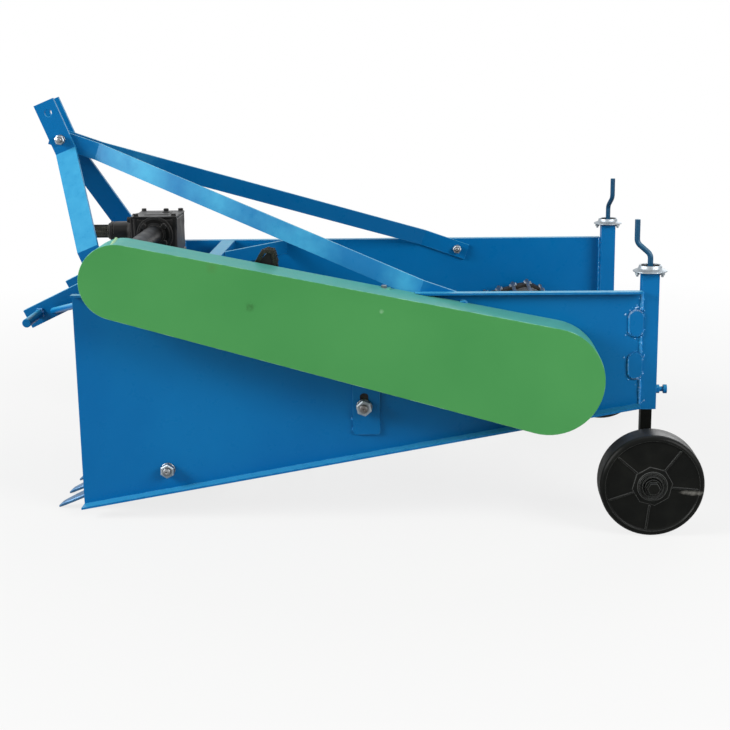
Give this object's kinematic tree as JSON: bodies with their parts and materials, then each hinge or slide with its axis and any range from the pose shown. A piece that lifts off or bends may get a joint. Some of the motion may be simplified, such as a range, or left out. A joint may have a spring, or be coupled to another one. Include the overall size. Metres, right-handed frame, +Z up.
{
  "type": "potato harvester",
  "caption": "Potato digger with three-point hitch, digging share, rod-web conveyor between blue side plates, green chain guard and height-set rear wheels.",
  "frame": {"origin": "centre of the bounding box on the ground", "axes": "-X is the travel direction towards the tractor, +Z up, -Y the left side with the chain guard"},
  "size_m": [1.6772, 1.162, 0.9949],
  "materials": {
    "blue_paint": "gloss enamel",
    "green_paint": "gloss enamel",
    "black_casting": "satin paint",
    "black_paint": "satin paint",
    "bare_steel": "bare steel",
    "zinc_plate": "zinc plate"
  },
  "bodies": {
    "frame": {"side_plate_left": "blue_paint", "side_plate_right": "blue_paint", "front_beam": "blue_paint", "cross_bar": "blue_paint", "rails": "blue_paint", "diagonals": "blue_paint", "arm_left": "blue_paint", "arm_right": "blue_paint", "stays": "blue_paint", "mast_left": "blue_paint", "mast_right": "blue_paint", "mast_bolt": "zinc_plate", "brace_left": "blue_paint", "brace_right": "blue_paint", "gearbox_base": "black_casting", "gearbox_housing": "black_casting", "gearbox_cover": "black_casting", "input_housing": "black_casting", "pto_shaft": "bare_steel", "output_tube": "black_casting", "chain_guard": "green_paint", "digging_share": "bare_steel", "share_beam": "blue_paint", "conveyor_web": "bare_steel", "drive_shaft": "bare_steel", "drive_bearings": "black_casting", "front_roller": "bare_steel", "support_roller": "bare_steel", "adjusters": "blue_paint", "tensioner_block": "black_casting", "post_left": "blue_paint", "post_right": "blue_paint", "flange_left": "zinc_plate", "flange_right": "zinc_plate", "crank_left": "blue_paint", "crank_right": "blue_paint", "lock_bolts": "blue_paint", "joint_plates": "blue_paint"},
    "leg_left": {"leg_left": "black_paint"},
    "wheel_left": {"wheel_left": "black_paint"},
    "leg_right": {"leg_right": "black_paint"},
    "wheel_right": {"wheel_right": "black_paint"}
  },
  "joints": [
    {"name": "leg_slide_left", "type": "slide", "parent": "frame", "child": "leg_left", "axis": [-0.0083, 0, 1], "range_m": [-0.12, 0.04]},
    {"name": "wheel_spin_left", "type": "hinge", "parent": "leg_left", "child": "wheel_left", "pos_m": [0.71665, -0.52, 0.122], "axis": [0, 1, 0], "continuous": true},
    {"name": "leg_slide_right", "type": "slide", "parent": "frame", "child": "leg_right", "axis": [-0.0083, 0, 1], "range_m": [-0.12, 0.04]},
    {"name": "wheel_spin_right", "type": "hinge", "parent": "leg_right", "child": "wheel_right", "pos_m": [0.71665, 0.52, 0.122], "axis": [0, 1, 0], "continuous": true}
  ]
}
